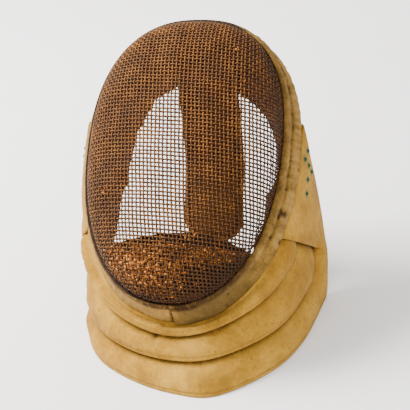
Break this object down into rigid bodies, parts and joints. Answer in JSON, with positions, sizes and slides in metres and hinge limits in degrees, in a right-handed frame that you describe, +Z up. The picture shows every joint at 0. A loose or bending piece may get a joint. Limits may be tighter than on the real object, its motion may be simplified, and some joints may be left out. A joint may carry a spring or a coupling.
{
  "type": "fencing mask",
  "caption": "Old fencing mask: a domed woven wire face in a canvas bound rim, with a tiered leather bib, ear flaps, leather side lining, back tongue and chin pad.",
  "frame": {"origin": "middle of the footprint, on the surface the mask rests on", "axes": "+Z up, the face towards -Y and leaning back, +X to the right of someone who looks at the face"},
  "size_m": [0.2462, 0.2882, 0.2704],
  "materials": {
    "rusty_wire": "rusted",
    "dark_wire": "tarnished",
    "stained_canvas": "worn",
    "buff_leather": "suede",
    "brown_leather": "worn",
    "crumbled_padding": "crumbled",
    "green_brass": "tarnished"
  },
  "bodies": {
    "root": {"wire_face": "rusty_wire", "rim_hoop": "dark_wire", "rim_band": "stained_canvas", "bib_base": "buff_leather", "bib_middle_tier": "buff_leather", "bib_upper_tier": "buff_leather", "ear_flap_left": "buff_leather", "ear_flap_right": "buff_leather", "side_lining": "brown_leather", "back_tongue": "brown_leather", "chin_pad": "crumbled_padding", "eyelet_left_1": "green_brass", "eyelet_left_2": "green_brass", "eyelet_left_3": "green_brass", "eyelet_left_4": "green_brass", "eyelet_left_5": "green_brass", "eyelet_left_6": "green_brass", "eyelet_right_1": "green_brass", "eyelet_right_2": "green_brass", "eyelet_right_3": "green_brass", "eyelet_right_4": "green_brass", "eyelet_right_5": "green_brass", "eyelet_right_6": "green_brass"}
  },
  "joints": []
}
